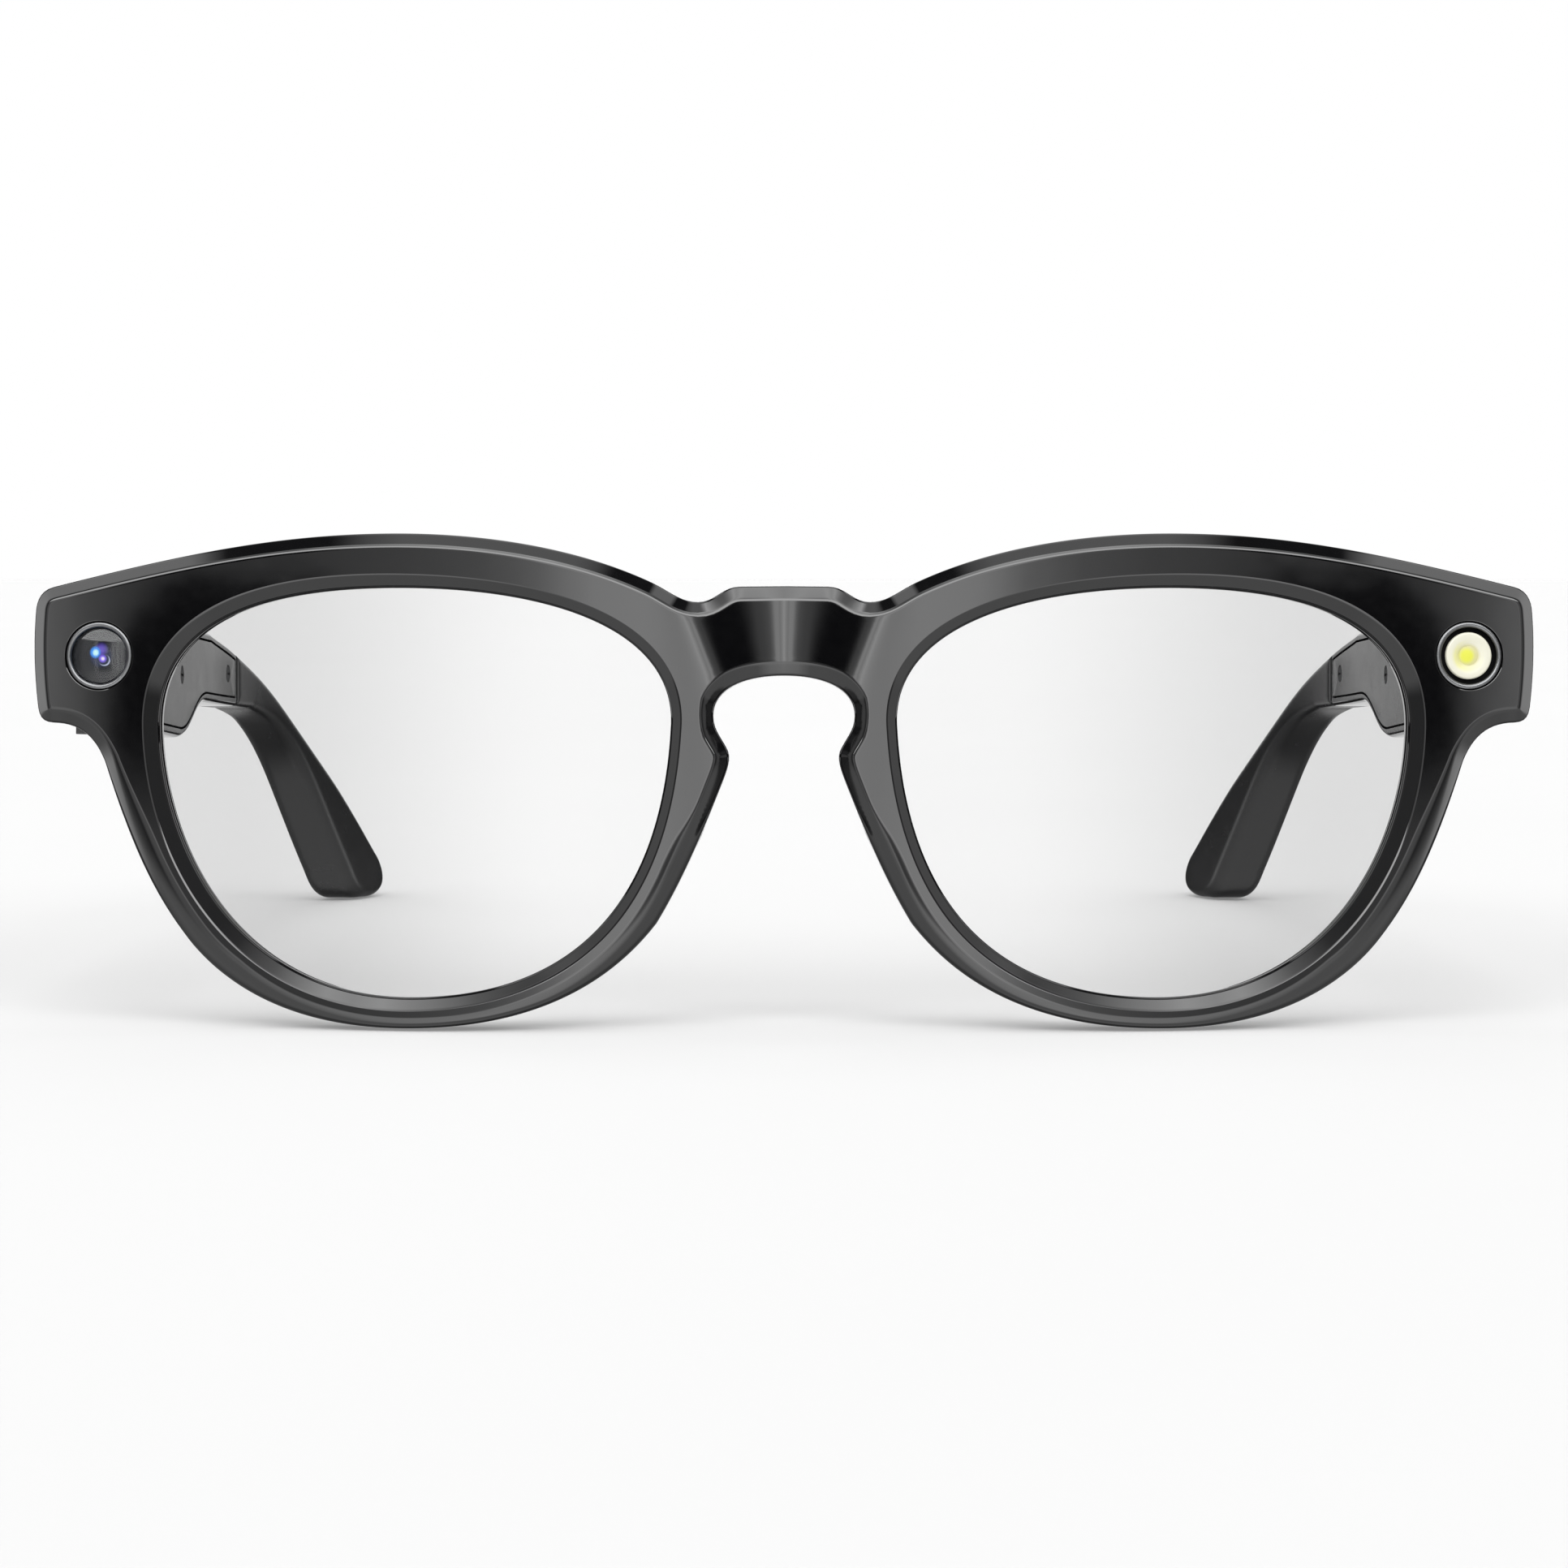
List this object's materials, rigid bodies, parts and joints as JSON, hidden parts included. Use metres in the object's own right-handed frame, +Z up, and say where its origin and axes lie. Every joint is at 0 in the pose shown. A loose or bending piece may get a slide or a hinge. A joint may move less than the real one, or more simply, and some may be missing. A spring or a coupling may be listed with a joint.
{
  "type": "smart glasses",
  "caption": "Smart glasses: round-rimmed gloss front with a camera and a signal light in the end pieces, clear lenses and hinged arms holding electronics.",
  "frame": {"origin": "centre of the bounding box's bottom face, on the surface that the rims and the arm tips rest on", "axes": "+X to the wearer's left, along the width; +Y from the front back to the arm tips; +Z up. The glasses stand on rims and tips, so the arms slope down by 3.74 degrees towards the tips"},
  "size_m": [0.1504, 0.144, 0.0492],
  "materials": {
    "gloss_black": "polished moulded plastic",
    "satin_black": "satin moulded plastic",
    "clear_lens": "clear, very light grey",
    "dark_glass": "dark coated glass",
    "pad_rubber": "soft matt",
    "steel": "turned and brushed",
    "dark_steel": "dark plated",
    "board_green": "printed board with solder mask",
    "flex_amber": "polyimide film",
    "battery_silver": "foil pouch",
    "gold": "gold-plated",
    "cream": "milky diffuser",
    "signal_yellow": "clear yellow resin"
  },
  "bodies": {
    "front": {"front_frame": "gloss_black", "rear_frame": "gloss_black", "brow_flex": "flex_amber", "left_lens": "clear_lens", "right_lens": "clear_lens", "left_nose_pad": "pad_rubber", "right_nose_pad": "pad_rubber", "camera_bezel": "steel", "camera_window": "dark_glass", "camera_barrel": "satin_black", "camera_lens": "dark_glass", "camera_module": "dark_steel", "led_bezel": "steel", "led_holder": "satin_black", "led_diffuser": "cream", "led_emitter": "signal_yellow", "led_board": "board_green", "left_hinge_bracket": "dark_steel", "left_hinge_pin": "steel", "left_bracket_screw_1": "steel", "left_bracket_screw_2": "steel", "right_hinge_bracket": "dark_steel", "right_hinge_pin": "steel", "right_bracket_screw_1": "steel", "right_bracket_screw_2": "steel"},
    "left_arm": {"left_arm_shell": "gloss_black", "left_arm_cover": "satin_black", "left_arm_tip": "satin_black", "left_tip_core": "steel", "left_hinge_leaf": "dark_steel", "left_leaf_screw_1": "steel", "left_leaf_screw_2": "steel", "left_cover_screw_1": "steel", "left_cover_screw_2": "steel", "left_speaker_grille": "dark_steel", "left_battery": "battery_silver", "left_speaker": "dark_steel", "charge_board": "board_green"},
    "right_arm": {"right_arm_shell": "gloss_black", "right_arm_cover": "satin_black", "right_arm_tip": "satin_black", "right_tip_core": "steel", "right_hinge_leaf": "dark_steel", "right_leaf_screw_1": "steel", "right_leaf_screw_2": "steel", "right_cover_screw_1": "steel", "right_cover_screw_2": "steel", "right_speaker_grille": "dark_steel", "right_battery": "battery_silver", "right_speaker": "dark_steel", "main_board": "board_green", "shield_can": "steel", "touch_sensor": "flex_amber", "charge_contact_1": "gold", "charge_contact_2": "gold"},
    "shutter_button": {"shutter_button": "satin_black"},
    "power_button": {"power_button": "satin_black"}
  },
  "joints": [
    {"name": "left_arm_fold", "type": "hinge", "parent": "front", "child": "left_arm", "pos_m": [0.0673, -0.05535, 0.03585], "axis": [0, 0.0652, 0.9979], "range_deg": [0, 85]},
    {"name": "right_arm_fold", "type": "hinge", "parent": "front", "child": "right_arm", "pos_m": [-0.0673, -0.05535, 0.03585], "axis": [0, -0.0652, -0.9979], "range_deg": [0, 72]},
    {"name": "shutter_press", "type": "slide", "parent": "right_arm", "child": "shutter_button", "axis": [0, -0.0652, -0.9979], "range_m": [0, 0.0004], "stiffness_N_per_m": 300},
    {"name": "power_press", "type": "slide", "parent": "right_arm", "child": "power_button", "axis": [0, 0.0652, 0.9979], "range_m": [0, 0.0004], "stiffness_N_per_m": 300}
  ]
}
